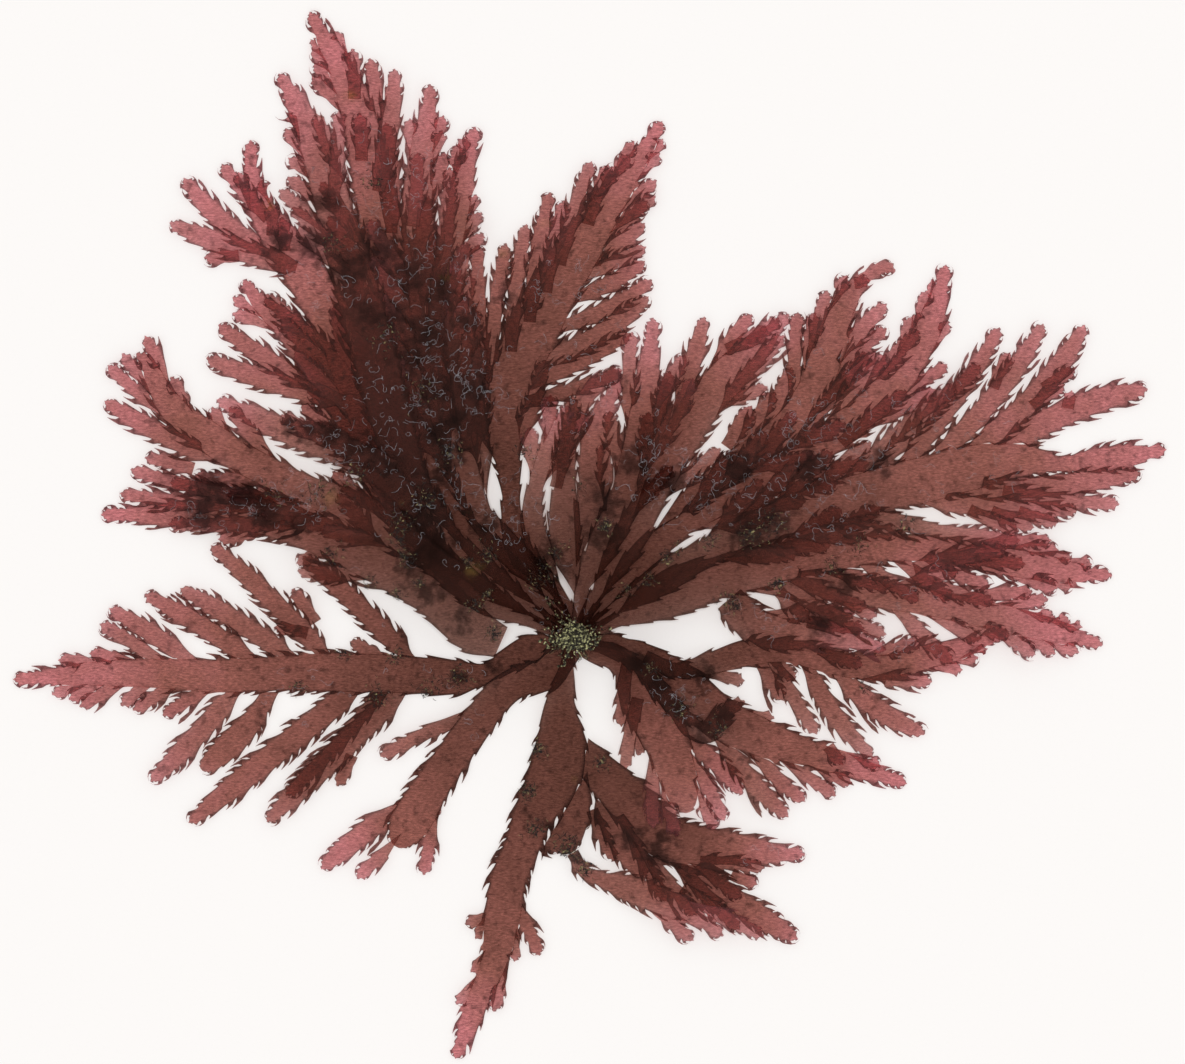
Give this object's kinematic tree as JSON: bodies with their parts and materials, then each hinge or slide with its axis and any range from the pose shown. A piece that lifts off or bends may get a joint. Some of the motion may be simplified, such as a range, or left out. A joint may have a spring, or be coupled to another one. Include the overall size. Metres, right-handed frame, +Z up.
{
  "type": "pressed red seaweed",
  "caption": "Pressed membranous red seaweed: flat toothed fronds with side blades spread from a small rooting tuft and lie over one another.",
  "frame": {"origin": "middle of the holdfast's underside, on the surface that the plant lies on", "axes": "+Z up from the surface, towards the viewer; +X towards the longest east frond and +Y towards the tall north fronds, as the plant is seen from above"},
  "size_m": [0.0973, 0.0883, 0.0072],
  "materials": {
    "frond_membrane": "thin dried membrane, rose at the tips and brown towards the base",
    "holdfast_tissue": "grainy dried rooting tissue, olive and matt"
  },
  "bodies": {
    "root": {"frond_east_1": "frond_membrane", "frond_east_2": "frond_membrane", "frond_east_low": "frond_membrane", "frond_east_mid": "frond_membrane", "frond_folded_strap": "frond_membrane", "frond_north": "frond_membrane", "frond_north_northeast": "frond_membrane", "frond_north_northwest": "frond_membrane", "frond_northeast": "frond_membrane", "frond_northeast_upper": "frond_membrane", "frond_northwest_1": "frond_membrane", "frond_northwest_2": "frond_membrane", "frond_northwest_3": "frond_membrane", "frond_south": "frond_membrane", "frond_south_knot": "frond_membrane", "frond_southeast_1": "frond_membrane", "frond_southeast_2": "frond_membrane", "frond_southwest": "frond_membrane", "frond_west": "frond_membrane", "frond_west_northwest_1": "frond_membrane", "frond_west_northwest_2": "frond_membrane", "frond_west_northwest_3": "frond_membrane", "holdfast": "holdfast_tissue"}
  },
  "joints": []
}
